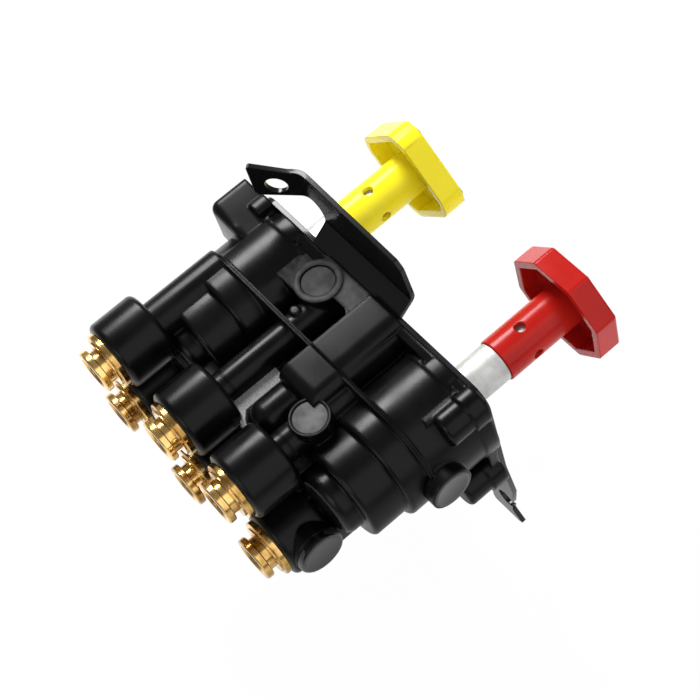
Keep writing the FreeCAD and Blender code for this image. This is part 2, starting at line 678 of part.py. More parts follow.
solids.append(box("ledge", "ledge_in_x", "ledge_out_x", "0", "ledge_y",
                  "core_low_z", "ledge_z"))
solids.append(cylinder("front_tower", "tower_a_r", "tower_a_z - core_low_z",
                       ("tower_a_x", "tower_a_y", "core_low_z")))
solids.append(cylinder("front_tube", "tube_r", "part_y - tower_a_y",
                       ("port_2_x", "tower_a_y", "top_z"), "Y"))
solids.append(cylinder("front_stub", "stub_r", "stub_z - core_top_z",
                       ("stub_x", "stub_y", "core_top_z")))
side_boss = cylinder("front_side_boss", "side_c_r", "side_c_long",
                     ("side_c_x", "side_c_y", "side_c_z"), "X")
barrel_room = cylinder("rear_barrel_room", "barrel_a_r + free_gap", "bore_r",
                       ("supply_x", "part_y", "0"), "Y")
solids.append(cut("front_side_boss_open", side_boss, barrel_room))
solids.append(cylinder("front_low_tube", "tube_r", "part_y",
                       ("port_5_x", "0", "low_z"), "Y"))
front_bores = [
    cylinder("plug_a_seat", "plug_a_r + plug_room", "10",
             ("tower_a_x", "tower_a_y", "tower_a_z - plug_sink - plug_t")),
    cylinder("plug_c_seat", "plug_c_r + plug_room", "plug_sink + plug_t + 5",
             ("side_c_x - 5", "side_c_y", "side_c_z"), "X"),
    cylinder("plug_c_bore", "small_seat_r", "plug_sink + plug_t + plug_long + 1",
             ("side_c_x", "side_c_y", "side_c_z"), "X"),
    cylinder("plug_c_line", "line_c_r", "supply_x - side_c_x",
             ("side_c_x", "side_c_y", "side_c_z"), "X"),
]
front_bores += [cylinder("screw_bore", "screw_bore_r", "screw_long + 1",
                         (side + SCREW_X, "-1", level), "Y")
                for side, level in SCREWS]
front = cut("front_open", fuse("front_blank", solids), fuse("front_bores", bores + front_bores))
keep("front_housing", front)

# Rear housing
solids = []
for name, x in PLUNGERS:
    steps = (("barrel_a_r", "part_y", "barrel_a_y", "step_round"),
             ("barrel_b_r", "barrel_a_y", "barrel_b_y", "step_round"),
             ("barrel_c_r", "barrel_b_y", "barrel_c_y", "dome_round"))
    for radius, start, end, fillet in steps:
        drum = cylinder("rear_barrel", radius, "%s - part_y" % end, (x, "part_y", "0"), "Y")
        solids.append(rounded("rear_barrel_edge", drum, fillet, ring_edge(end)))
    rib = cylinder("rear_rib", "rib_r", "rib_t", (x, "part_y", "0"), "Y")
    if name == "supply":
        boss_room = cylinder("side_boss_room", "side_c_r + free_gap", "side_c_long",
                             ("side_c_x - 1", "side_c_y", "side_c_z"), "X")
        rib = cut("rear_rib_open", rib, boss_room)
    solids.append(rib)
solids.append(box("rear_rib_plate", "supply_x", "park_x", "part_y", "part_y + rib_t",
                  "-rib_r", "rib_r"))
solids.append(box("rear_web", "supply_x", "park_x", "part_y", "barrel_b_y",
                  "web_low_z", "web_top_z"))
solids.append(box("rear_web_end", "port_3_x - 8", "port_1_x", "barrel_a_y", "port_in_y + 2",
                  "web_low_z", "web_top_z"))
ridge = box("rear_ridge", "ridge_out_x", "ridge_in_x", "part_y", "ridge_y",
            "web_low_z", "ridge_top_z")
solids.append(box("rear_ridge_root", "ridge_out_x - 2", "ridge_out_x + 1", "part_y", "tower_b_y",
                  "web_low_z", "top_z - 5"))
ridge_nose = rounded("rear_ridge_edge", ridge, "ridge_nose", lambda edge:
                     line_edge("Y")(edge) and edge.BoundBox.Center.z > size("ledge_z")
                     and edge.BoundBox.Center.x < size("ridge_in_x") - 1
                     or line_edge("X")(edge) and edge.BoundBox.Center.z > size("ledge_z")
                     and edge.BoundBox.Center.y > size("barrel_a_y"))
solids.append(ridge_nose)
for number, x, z in PORTS:
    head = cylinder("port_boss", "port_r", "port_y - port_in_y", (x, "port_in_y", z), "Y")
    solids.append(rounded("port_boss_edges", head, "port_round",
                          ring_edge("port_in_y", "port_y")))
    solids.append(cylinder("passage_tube", "tube_big_r" if number in "14" else "tube_r",
                           "tube_y - part_y", (x, "part_y", z), "Y"))
fat = cylinder("fat_passage", "fat_r", "fat_y - barrel_a_y", ("fat_x", "barrel_a_y", "fat_z"), "Y")
solids.append(rounded("fat_passage_end", fat, "fat_round", ring_edge("fat_y")))
solids.append(cylinder("rear_tower", "tower_b_r", "tower_b_z - web_low_z",
                       ("tower_b_x", "tower_b_y", "web_low_z")))
solids.append(cylinder("rear_side_boss", "side_d_r", "port_6_x - side_d_x - 4",
                       ("side_d_x", SIDE_D_Y, "side_z"), "X"))
for x, z in (("port_4_x", "low_z"), ("port_5_x", "low_z"), ("port_6_x", "low_z")):
    solids.append(box("low_web", "(%s) - 3" % x, "(%s) + 3" % x, "part_y", "port_in_y + 2",
                      z, "web_low_z + 1"))
rear_bores = []
for number, x, z in PORTS:
    rear_bores += [
        cylinder("cartridge_bore", "port_bore_r", "port_y - port_bore_y + 1",
                 (x, "port_bore_y", z), "Y"),
        cylinder("tube_seat", "tube_seat_r", "port_bore_y - tube_seat_y + 1",
                 (x, "tube_seat_y", z), "Y"),
    ]
for number, x, z, start in (("1", "port_1_x", "top_z", "gallery_y"),
                            ("3", "port_3_x", "top_z", "tower_b_y"),
                            ("4", "port_4_x", "low_z", "delivery_y"),
                            ("6", "port_6_x", "low_z", "delivery_y")):
    rear_bores.append(cylinder("air_line", "flow_r", "tube_seat_y - %s + 1" % start,
                               (x, start, z), "Y"))
rear_bores += [
    cylinder("park_delivery", "hole_r", "-low_z", ("park_x + 9", "delivery_y", "low_z")),
    cylinder("supply_delivery", "hole_r", "-low_z", ("supply_x + 10", "delivery_y", "low_z")),
    cylinder("interlock_bore", "plug_seat_r", "tower_b_z - bore_b_low_z + 1",
             ("tower_b_x", "tower_b_y", "bore_b_low_z")),
    cylinder("interlock_outlet", "1.5", "12", ("tower_b_x - 12", "tower_b_y", "bore_b_low_z + 2"),
             "X"),
    cylinder("plug_b_seat", "plug_b_r + plug_room", "10",
             ("tower_b_x", "tower_b_y", "tower_b_z - plug_sink - plug_t")),
    cylinder("plug_d_seat", "plug_d_r + plug_room", "plug_sink + plug_t + 5",
             ("side_d_x - 5", SIDE_D_Y, "side_z"), "X"),
    cylinder("plug_d_bore", "plug_seat_r", "plug_sink + plug_t + plug_d_long + 0.3",
             ("side_d_x", SIDE_D_Y, "side_z"), "X"),
]
rear = cut("rear_open", fuse("rear_blank", solids),
           fuse("rear_bores", bores + rear_bores))
lip = common("ridge_lip", ridge_nose, box("ridge_lip_room", "ridge_out_x - 1", "ridge_in_x",
                                          "tower_b_y - tower_b_r - 1", "ridge_y + 1",
                                          "tower_b_z - plug_sink + free_gap", "ridge_top_z + 1"))
keep("rear_housing", fuse("rear_with_lip", [rear, lip]))

# Plungers with what rides on them
for name, x in PLUNGERS:
    rings = []
    profile = [("0", "nose_y"), ("nose_r-0.8", "nose_y"), ("nose_r", "nose_y+0.8"),
               ("nose_r", "hub_y+0.1"), ("stem_r", "hub_y+0.1"), ("stem_r", "land_a_y")]
    for start, end in (("land_a_y", "land_a_end"), ("land_b_y", "land_b_end")):
        profile += [("bore_r-fit-0.02", start), ("bore_r-fit-0.02", start + "+1.1"),
                    ("groove_r", start + "+1.1"), ("groove_r", start + "+1.1+groove_w"),
                    ("bore_r-fit-0.02", start + "+1.1+groove_w"), ("bore_r-fit-0.02", end)]
        if start == "land_a_y":
            profile += [("neck_r", end), ("neck_r", "land_b_y")]
        rings.append(torus("plunger_ring", "bore_r - seal_gap - ring_wire", "ring_wire",
                           (x, start + " + 1.1 + groove_w / 2", "0")))
    profile += [("tail_r", "land_b_end"), ("tail_r", "tail_y-0.6"), ("tail_r-0.6", "tail_y"),
                ("0", "tail_y")]
    stem = revolved("plunger", profile, (x, "0", "0"))
    hole = cylinder("plunger_cross_hole", "cross_r", "40", ("%s - 20" % x, "pin_y", "0"), "X")
    keep("plunger_" + name, cut("plunger_open", stem, hole))
    keep("plunger_rings_" + name, group("plunger_ring_pair", rings))
    keep("knob_pin_" + name, cylinder("knob_pin", "pin_r", "pin_long",
                                      ("%s - pin_long / 2" % x, "pin_y", "0"), "X"))
    keep("return_spring_" + name, coil(
        "return_spring", "spring_r", "spring_wire", "spring_halves",
        "pocket_y - land_b_end - 2 * spring_wire - 0.1",
        (x, "land_b_end + spring_wire + 0.05", "0"), "Y"))

    # Guide, wiper and guide ring
    guide = revolved("plunger_guide", [
        ("guide_in_r", "guide_front_y+0.5"), ("wiper_r-1.2", "guide_front_y+0.5"),
        ("wiper_r-1.2", "wiper_front_y"), ("wiper_r", "wiper_front_y"),
        ("wiper_r", "wiper_back_y"), ("guide_in_r", "wiper_back_y"),
        ("guide_in_r", "guide_back_y"), ("guide_r-0.1", "guide_back_y"),
        ("guide_r-0.1", "guide_ring_y+1.4"), ("guide_groove_r", "guide_ring_y+1.4"),
        ("guide_groove_r", "guide_ring_y-1.4"), ("guide_r-0.1", "guide_ring_y-1.4"),
        ("guide_r-0.1", "guide_front_y"), ("guide_in_r+0.5", "guide_front_y"),
    ], (x, "0", "0"))
    keep("plunger_guide_" + name, guide)
    keep("stem_wiper_" + name, revolved("stem_wiper", [
        ("stem_r+seal_gap", "wiper_back_y-1.6"), ("stem_r+seal_gap", "wiper_back_y-0.1"),
        ("wiper_r-0.05", "wiper_back_y-0.1"), ("wiper_r-0.05", "wiper_front_y+0.1"),
        ("wiper_r-1", "wiper_front_y+0.1"),
    ], (x, "0", "0")))
keep("guide_rings", group("guide_ring_pair", [
    torus("guide_ring", "guide_r - seal_gap - guide_ring_wire", "guide_ring_wire",
          (x, "guide_ring_y", "0")) for name, x in PLUNGERS]))


# Knobs
def knob_blank(name, shape):
    """Hollow knob shell on its hub; shape draws the solid at an inset."""
    shell = shape("0", "knob_front_y", "knob_back_y - knob_front_y")
    shell = rounded(name + "_rim", shell, "rim_round", lambda edge:
                    edge.BoundBox.YLength < 0.01
                    and abs(edge.BoundBox.Center.y - size("knob_front_y")) < 0.01)
    hollow = shape("knob_wall", "knob_front_y + knob_skin", "knob_back_y - knob_front_y")
    return cut(name + "_shell", shell, hollow)


def octagon(inset, start, length):
    return prism("octagon", 8, "octagon - " + inset, length, ("supply_x", start, "0"),
                 size("octagon_turn"))


def cut_square(inset, start, length):
    turn = size("square_turn")
    at = ("park_x", start, "0")
    wide = prism("square", 4, "square_half - " + inset, length, at, turn)
    corners = prism("square_corners", 4, "square_cut - " + inset, length, at,
                    turn + size("corner_turn"))
    return common("square_with_cut_corners", wide, corners)


for name, x, shape in (("park", "park_x", cut_square), ("supply", "supply_x", octagon)):
    shell = knob_blank("knob_" + name, shape)
    hub = cylinder("knob_hub", "hub_r", "hub_y - knob_front_y - 1", (x, "knob_front_y + 1", "0"),
                   "Y")
    hub = rounded("knob_hub_end", hub, "plug_sink", ring_edge("hub_y"))
    holes = fuse("knob_holes", [
        cylinder("knob_bore", "hub_bore_r", "40", (x, "nose_y - 0.5", "0"), "Y"),
        cylinder("knob_cross_hole", "cross_r", "40", ("%s - 20" % x, "pin_y", "0"), "X"),
        cylinder("knob_cross_hole", "cross_r", "40", (x, "pin_y", "-20")),
    ])
    keep("knob_" + name, cut("knob_open", fuse("knob_solid", [shell, hub]), holes))

# Port cartridges
for number, x, z in PORTS:
    keep("port_collar_" + number, revolved("port_collar", [
        ("collar_room_r", "collar_in_y"), ("collar_body_r", "collar_in_y"),
        ("collar_body_r", "port_y"), ("collar_face_r", "port_y"),
        ("collar_face_r", "collar_face_y-0.4"), ("collar_face_r-0.4", "collar_face_y"),
        ("collar_step_r", "collar_face_y"), ("collar_step_r", "collar_step_y"),
        ("collar_lip_r+0.6", "collar_step_y"), ("collar_lip_r", "collar_step_y-0.6"),
        ("collar_lip_r", "collar_room_y"), ("collar_room_r", "collar_room_y"),
    ], (x, "0", z)))
    blank = revolved("release_collet", [
        ("collet_bore_r", "collet_in_y"), ("collet_catch_r", "collet_in_y"),
        ("collet_catch_r", "collet_catch_y"), ("collet_neck_r", "collet_catch_y"),
        ("collet_neck_r", "collet_face_y"), ("collet_face_r-0.4", "collet_face_y"),
        ("collet_face_r", "collet_face_y+0.4"), ("collet_face_r", "collet_end_y-0.6"),
        ("collet_face_r-0.6", "collet_end_y"), ("collet_bore_r+0.8", "collet_end_y"),
        ("collet_bore_r", "collet_end_y-0.8"),
    ], (x, "0", z))
    slits = fuse("collet_slits", [
        box("collet_slit", "%s - 10" % x, "%s + 10" % x, "collet_in_y - 1",
            "collar_room_y", "%s - 0.6" % z, "%s + 0.6" % z),
        box("collet_slit", "%s - 0.6" % x, "%s + 0.6" % x, "collet_in_y - 1",
            "collar_room_y", "%s - 10" % z, "%s + 10" % z),
    ])
    keep("release_collet_" + number, cut("collet_open", blank, slits))
keep("grip_rings", group("grip_ring_set", [revolved("grip_ring", [
    ("grip_in_r", "grip_y+0.5"), ("grip_in_r+1.4", "grip_y"), ("port_bore_r-fit", "grip_y"),
    ("port_bore_r-fit", "grip_y+grip_t"), ("grip_in_r+1.4", "grip_y+grip_t"),
    ("grip_in_r", "grip_y+grip_t-0.2"),
], (x, "0", z)) for number, x, z in PORTS]))
keep("tube_seals", group("tube_seal_set", [
    torus("tube_seal", "tube_ring_r", "tube_ring_wire", (x, "tube_ring_y", z))
    for number, x, z in PORTS]))


# Closing plugs
def plug(name, head, seat, shank, at, axis, stop):
    """Headed plug with a ring groove; its outer face looks along the local Y."""
    middle = "-plug_t-%s" % shank
    floor = size("plug_t") + size(shank) / 2
    profile = [("0", "0"), (head + "-0.4", "0"), (head, "-0.4"), (head, "-plug_t"),
               (seat + "-plug_room", "-plug_t"),
               (seat + "-plug_room", "-%.3f+plug_groove_w" % (floor + 0.8)),
               (seat + "-groove_depth", "-%.3f+plug_groove_w" % (floor + 0.8)),
               (seat + "-groove_depth", "-%.3f" % (floor + 0.8)),
               (seat + "-plug_room", "-%.3f" % (floor + 0.8)),
               (seat + "-plug_room", middle)]
    if stop:
        profile += [("stop_a_r", middle), ("stop_a_r", stop), ("0", stop)]
    else:
        profile += [("0", middle)]
    ring = torus(name + "_ring", seat + " - seal_gap - plug_ring_wire", "plug_ring_wire", at,
                 {"up": "Z", "left": "X"}[axis])
    return place(revolved(name, profile, at), at, axis), ring, floor


plugs = (
    ("plug_top_front", "plug_a_r", "plug_seat_r", "plug_a_long", "up",
     ("tower_a_x", "tower_a_y"), "tower_a_z", "-tower_a_z+plug_sink+stop_a_z"),
    ("plug_top_rear", "plug_b_r", "plug_seat_r", "plug_b_long", "up",
     ("tower_b_x", "tower_b_y"), "tower_b_z", ""),
    ("plug_side_front", "plug_c_r", "small_seat_r", "plug_long", "left",
     ("side_c_y", "side_c_z"), "side_c_x", ""),
    ("plug_side_rear", "plug_d_r", "plug_seat_r", "plug_d_long", "left",
     (SIDE_D_Y, "side_z"), "side_d_x", ""),
)
seals = []
for name, head, seat, shank, axis, spot, face, stop in plugs:
    if axis == "up":
        at = spot + (face + " - plug_sink",)
    else:
        at = (face + " + plug_sink",) + spot
    thing, ring, depth = plug(name, head, seat, shank, at, axis, stop)
    if axis == "up":
        bind(ring, "Placement.Base.z", "%s - plug_sink - %.3f" % (face, depth))
    else:
        bind(ring, "Placement.Base.x", "%s + plug_sink + %.3f" % (face, depth))
    keep(name, thing)
    seals.append(ring)
keep("plug_seals", group("plug_seal_set", seals))

# Check shuttle, interlock poppet and its spring
keep("check_shuttle", place(revolved("check_shuttle", [
    ("0", "0"), ("shuttle_r-0.5", "0"), ("shuttle_r", "0.5"), ("shuttle_r", "2.5"),
    ("shuttle_slot", "3.5"), ("shuttle_slot", "shuttle_top_z-shuttle_low_z-3.5"),
    ("shuttle_r", "shuttle_top_z-shuttle_low_z-2.5"),
    ("shuttle_r", "shuttle_top_z-shuttle_low_z-0.5"),
    ("shuttle_r-0.5", "shuttle_top_z-shuttle_low_z"), ("0", "shuttle_top_z-shuttle_low_z"),
], ("0", "0", "0")), ("tower_a_x", "tower_a_y", "shuttle_low_z"), "up"))
keep("interlock_poppet", place(revolved("interlock_poppet", [
    ("0", "0"), ("poppet_r-0.5", "0"), ("poppet_r", "0.5"),
    ("poppet_r", "poppet_mid_z-poppet_low_z"),
    ("poppet_stem_r", "poppet_mid_z-poppet_low_z"),
    ("poppet_stem_r", "poppet_top_z-poppet_low_z"), ("0", "poppet_top_z-poppet_low_z"),
], ("0", "0", "0")), ("tower_b_x", "tower_b_y", "poppet_low_z"), "up"))
keep("interlock_spring", coil(
    "interlock_spring", "small_spring_r", "small_wire", "small_halves",
    "tower_b_z - plug_sink - plug_t - plug_b_long - poppet_mid_z - 2 * small_wire - 0.1",
    ("tower_b_x", "tower_b_y", "poppet_mid_z + small_wire + 0.05"), "Z"))

# Bracket screws
screws = []
for side, level in SCREWS:
    at = (side + SCREW_X, "0", level)
    blank = revolved("bracket_screw", [
        ("0", "-sheet_t"), ("screw_head_r", "-sheet_t"),
        ("screw_head_r", "-sheet_t+screw_edge"), ("screw_r", "-screw_edge"),
        ("screw_r", "screw_long-0.8"),
        ("screw_r-0.8", "screw_long"), ("0", "screw_long"),
    ], at)
    socket = prism("screw_socket", 6, "screw_key_r", "screw_key_d + 1",
                   (at[0], "-sheet_t - 1", at[2]), 0)
    screws.append(cut("bracket_screw_open", blank, socket))
keep("bracket_screws", group("bracket_screw_set", screws))

# Checks and files
doc.recompute()
for thing in doc.Objects:
    if "Invalid" in thing.State or "Error" in thing.State:
        raise RuntimeError("object %s failed: %s" % (thing.Name, thing.State))
os.makedirs("parts", exist_ok=True)
for node, thing in parts.items():
    shape = thing.Shape
    if shape.isNull() or not shape.isValid():
        raise RuntimeError("shape %s is not valid" % node)
    if not shape.Solids:
        raise RuntimeError("shape %s has no solid" % node)
    shape.exportStep("parts/%s.step" % node)
    print(node, len(shape.Solids), round(shape.Volume, 1))
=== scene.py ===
# %% [markdown]
# # A dash control valve
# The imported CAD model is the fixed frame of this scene. Every visible piece below is either a
# finer copy of one of its nodes or a new piece in the same place, and it moves with the same body.
# Lengths are metres, and `mm` turns the millimetres of the workshop into them.

# %% Load the frame
import json
import math

import bmesh
import bpy
from mathutils import Matrix, Vector


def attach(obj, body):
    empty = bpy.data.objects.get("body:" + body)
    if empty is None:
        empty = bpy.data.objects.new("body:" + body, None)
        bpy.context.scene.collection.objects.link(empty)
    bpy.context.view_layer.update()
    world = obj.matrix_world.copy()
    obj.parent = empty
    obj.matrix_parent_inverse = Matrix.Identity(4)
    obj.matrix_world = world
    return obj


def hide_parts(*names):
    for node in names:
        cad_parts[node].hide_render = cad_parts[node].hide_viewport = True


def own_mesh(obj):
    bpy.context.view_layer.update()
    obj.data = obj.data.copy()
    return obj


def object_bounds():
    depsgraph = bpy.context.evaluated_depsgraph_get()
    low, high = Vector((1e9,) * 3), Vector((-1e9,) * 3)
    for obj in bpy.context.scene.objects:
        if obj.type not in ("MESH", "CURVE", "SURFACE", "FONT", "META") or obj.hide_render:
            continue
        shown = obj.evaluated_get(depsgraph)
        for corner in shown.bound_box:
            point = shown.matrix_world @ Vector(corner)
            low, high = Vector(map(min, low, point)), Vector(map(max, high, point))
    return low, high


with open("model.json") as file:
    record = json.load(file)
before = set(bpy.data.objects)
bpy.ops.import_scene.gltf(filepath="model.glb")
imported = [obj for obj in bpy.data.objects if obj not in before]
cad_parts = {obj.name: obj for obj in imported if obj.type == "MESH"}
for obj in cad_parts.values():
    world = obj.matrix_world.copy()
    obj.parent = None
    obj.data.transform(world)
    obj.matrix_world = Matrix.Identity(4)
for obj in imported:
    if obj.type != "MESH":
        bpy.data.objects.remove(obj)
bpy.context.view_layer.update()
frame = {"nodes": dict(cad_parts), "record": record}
mm = 0.001

# %% [markdown]
# A finish on a real part is a base colour, a gloss and sometimes a coat. All three are values on
# the Principled shader. They could come from linked value nodes, but a plain value is set on the
# shader itself, because the export reads it there.


# %% Start a finish
def new_finish(name, colour, roughness, metallic=0.0, **extra):
    """A Principled material with plain values on its sockets."""
    finish = bpy.data.materials.new(name)
    finish.use_nodes = True
    shader = finish.node_tree.nodes["Principled BSDF"]
    shader.inputs["Base Color"].default_value = (*colour, 1)
    shader.inputs["Roughness"].default_value = roughness
    shader.inputs["Metallic"].default_value = metallic
    for words, value in extra.items():
        socket = words.replace("_", " ").title().replace("Ior", "IOR")
        shader.inputs[socket].default_value = value
    return finish, finish.node_tree, shader


# %% [markdown]
# No real surface is even. Noise makes the unevenness, and it reads Object coordinates, since every
# piece keeps its place in its own mesh. An image texture could do the same, but it would need a
# UV map on every piece. One helper maps the noise to a range of gloss, another to two colours.


# %% Noise, gloss and colour
NOISE_RANGE = (0.3, 0.7)
TINT_RANGE = (0.35, 0.65)


def object_noise(tree, scale, detail=3.0, stretch=(1, 1, 1)):
    """Noise on Object coordinates; the scale counts grains per metre."""
    place = tree.nodes.new("ShaderNodeTexCoord")
    turn = tree.nodes.new("ShaderNodeMapping")
    turn.inputs["Scale"].default_value = stretch
    noise = tree.nodes.new("ShaderNodeTexNoise")
    noise.inputs["Scale"].default_value = scale
    noise.inputs["Detail"].default_value = detail
    tree.links.new(place.outputs["Object"], turn.inputs["Vector"])
    tree.links.new(turn.outputs["Vector"], noise.inputs["Vector"])
    return noise.outputs["Fac"]


def spread(tree, source, low, high, target=None):
    """Map a noise value to a range, and plug it into a shader socket if one is given."""
    ramp = tree.nodes.new("ShaderNodeMapRange")
    ramp.inputs["From Min"].default_value = NOISE_RANGE[0]
    ramp.inputs["From Max"].default_value = NOISE_RANGE[1]
    ramp.inputs["To Min"].default_value = low
    ramp.inputs["To Max"].default_value = high
    tree.links.new(source, ramp.inputs["Value"])
    if target:
        tree.links.new(ramp.outputs["Result"], target)
    return ramp.outputs["Result"]


def tint(tree, source, dark, light, target=None):
    """Blend two colours by a noise value, and plug them into a shader socket if one is given."""
    ramp = tree.nodes.new("ShaderNodeValToRGB")
    for element, colour, position in zip(ramp.color_ramp.elements, (dark, light), TINT_RANGE):
        element.position = position
        element.color = (*colour, 1)
    tree.links.new(source, ramp.inputs["Fac"])
    if target:
        tree.links.new(ramp.outputs["Color"], target)
    return ramp.outputs["Color"]


# %% [markdown]
# Fine grain is too small to model, so it is a bump in the shading. Under the bump, a Bevel node
# shades corners as if they were rounded more widely, which costs no faces. The corners are rounded
# in the mesh too, by less, and every larger shape is real geometry.


# %% Bump
def bumped(tree, shader, source, strength, distance, fillet=0.0):
    """Turn a noise value into a small bump, over corners that are shaded round; in metres."""
    bump = tree.nodes.new("ShaderNodeBump")
    bump.inputs["Strength"].default_value = strength
    bump.inputs["Distance"].default_value = distance
    tree.links.new(source, bump.inputs["Height"])
    if fillet:
        soft = tree.nodes.new("ShaderNodeBevel")
        soft.samples = 8
        soft.inputs["Radius"].default_value = fillet
        tree.links.new(soft.outputs["Normal"], bump.inputs["Normal"])
    tree.links.new(bump.outputs["Normal"], shader.inputs["Normal"])


# %% [markdown]
# Where a mould wasn't polished, the plastic comes out grained and grey. Such faces could have a
# material of their own, but then each piece would need two. Here a face attribute, "grained",
# marks them, and this helper lets the shader choose between a plain and a grained colour.


# %% Two skins in one material
def two_skins(tree, shader, plain, grained):
    """Show the plain colour, or the grained one where a face is marked; give back the mark."""
    mark = tree.nodes.new("ShaderNodeAttribute")
    mark.attribute_name = "grained"
    blend = tree.nodes.new("ShaderNodeMix")
    blend.data_type = "RGBA"
    tree.links.new(mark.outputs["Fac"], blend.inputs["Factor"])
    tree.links.new(plain, blend.inputs["A"])
    tree.links.new(grained, blend.inputs["B"])
    tree.links.new(blend.outputs["Result"], shader.inputs["Base Color"])
    return mark.outputs["Fac"]


# %% [markdown]
# The body is moulded from a plastic such as glass-filled nylon: nearly black, with a satin skin
# that is a little uneven where the mould was polished by hand. Its gloss varies over centimetres,
# and a very fine grain breaks up the highlights. The grained faces are also duller than the rest.

# %% Black moulded plastic
body_black, tree, shader = new_finish("satin moulded black", (0.005, 0.005, 0.0055), 0.36,
                                      specular_ior_level=0.12)
patches = object_noise(tree, 60, 4)
grain = object_noise(tree, 2600, 2)
rough_skin = object_noise(tree, 320, 6)
satin = tint(tree, patches, (0.0013, 0.0013, 0.0015), (0.0028, 0.0028, 0.0032))
grey = tint(tree, rough_skin, (0.016, 0.016, 0.017), (0.042, 0.042, 0.044))
mark = two_skins(tree, shader, satin, grey)
grained_roughness = 0.48
dull = tree.nodes.new("ShaderNodeMix")
tree.links.new(mark, dull.inputs["Factor"])
tree.links.new(spread(tree, patches, 0.24, 0.34), dull.inputs["A"])
dull.inputs["B"].default_value = grained_roughness
tree.links.new(dull.outputs["Result"], shader.inputs["Roughness"])
bumped(tree, shader, grain, strength=0.18, distance=0.04 * mm, fillet=1.9 * mm)
print(body_black.name, len(tree.nodes), "nodes")

# %% [markdown]
# The disc of the rear top plug looks grey, because its grain scatters the light. Its rim and the
# whole front top plug are darker. The caps over the side plugs are smoother and nearly as black as
# the body.

# %% Plug plastic
plug_grey, tree, shader = new_finish("grained dark grey", (0.06, 0.06, 0.063), 0.6,
                                     specular_ior_level=0.2)
grain = object_noise(tree, 900, 4)
blotch = object_noise(tree, 170, 9)
grey = tint(tree, blotch, (0.054, 0.054, 0.056), (0.112, 0.112, 0.115))
slate = tint(tree, blotch, (0.012, 0.012, 0.013), (0.042, 0.042, 0.044))
two_skins(tree, shader, slate, grey)
bumped(tree, shader, grain, strength=0.45, distance=0.12 * mm)
print(plug_grey.name, len(tree.nodes), "nodes")

plug_black, tree, shader = new_finish("moulded cap black", (0.018, 0.018, 0.021), 0.36)
grain = object_noise(tree, 1500, 3)
bumped(tree, shader, grain, strength=0.25, distance=0.06 * mm)
print(plug_black.name, len(tree.nodes), "nodes")

# %% [markdown]
# The bracket is pressed steel with a thin glossy black coat. The spray leaves slow changes of
# gloss in the coat and a fine orange peel on it. Both are noise, one in the roughness and one in
# the bump, because a coat has no shape of its own to model.

# %% Glossy black paint
bracket_black, tree, shader = new_finish("glossy black coat", (0.004, 0.004, 0.0045), 0.22,
                                         specular_ior_level=0.15, coat_weight=0.15,
                                         coat_roughness=0.06)
orange_peel = object_noise(tree, 420, 2)
haze = object_noise(tree, 35, 4)
spread(tree, haze, 0.18, 0.32, shader.inputs["Roughness"])
bumped(tree, shader, orange_peel, strength=0.12, distance=0.08 * mm, fillet=0.5 * mm)
print(bracket_black.name, len(tree.nodes), "nodes")


# %% [markdown]
# The knobs are glossy coloured plastic. Light goes a little way into it, so a little subsurface
# scattering keeps the shaded sides warm. One helper makes both colours.

# %% Coloured knob plastic
def knob_plastic(name, colour, deep):
    """Glossy plastic whose colour drifts a little towards a deeper one."""
    finish, tree, shader = new_finish(name, colour, 0.25, specular_ior_level=0.14)
    shader.inputs["Subsurface Weight"].default_value = 0.04
    shader.inputs["Subsurface Radius"].default_value = (3.0 * mm, 1.2 * mm, 0.6 * mm)
    shader.inputs["Subsurface Scale"].default_value = 1.0
    cloud = object_noise(tree, 45, 3)
    skin = object_noise(tree, 800, 2)
    tint(tree, cloud, deep, colour, shader.inputs["Base Color"])
    spread(tree, cloud, 0.20, 0.30, shader.inputs["Roughness"])
    bumped(tree, shader, skin, strength=0.08, distance=0.04 * mm, fillet=0.8 * mm)
    print(finish.name, len(tree.nodes), "nodes")
    return finish


knob_yellow = knob_plastic("yellow knob plastic", (0.95, 0.82, 0.024), (0.92, 0.78, 0.016))
knob_red = knob_plastic("red knob plastic", (0.45, 0.011, 0.007), (0.39, 0.009, 0.006))

# %% [markdown]
# Turned metal shows fine rings round its axis. All turned pieces here have their axis along Y, so
# noise that changes slowly across X and Z and fast along Y gives those rings. Slow stains darken
# the colour in places.

# %% Brass, aluminium and steel
SLOW = 20


def turned(name, colour, stained, roughness, rings, depth):
    """Metal with turning marks; rings per metre along Y and their depth in metres."""
    finish, tree, shader = new_finish(name, colour, roughness, metallic=1.0)
    ring_noise = object_noise(tree, 1.0, 2, stretch=(SLOW, rings, SLOW))
    stain = object_noise(tree, 130, 4)
    tint(tree, stain, stained, colour, shader.inputs["Base Color"])
    spread(tree, ring_noise, roughness * 0.75, roughness * 1.4, shader.inputs["Roughness"])
    bumped(tree, shader, ring_noise, strength=0.25, distance=depth, fillet=0.2 * mm)
    print(finish.name, len(tree.nodes), "nodes")
    return finish


fitting_brass = turned("polished brass", (0.76, 0.50, 0.18), (0.30, 0.165, 0.045),
                       0.17, 3500, 0.02 * mm)
stem_aluminium = turned("turned aluminium", (0.60, 0.60, 0.585), (0.44, 0.44, 0.43),
                        0.55, 5200, 0.03 * mm)
pin_steel = turned("bright pin steel", (0.62, 0.61, 0.59), (0.5, 0.5, 0.49),
                   0.25, 2500, 0.02 * mm)
spring_steel = turned("spring wire", (0.50, 0.50, 0.51), (0.4, 0.4, 0.42),
                      0.3, 2000, 0.02 * mm)
screw_steel = turned("plated screw steel", (0.34, 0.34, 0.35), (0.26, 0.26, 0.27),
                     0.35, 2000, 0.02 * mm)

# %% [markdown]
# What sits inside is seen only when the model is taken apart: white guide plastic and rubber
# seals. They are simple, with one even colour and a little grain.

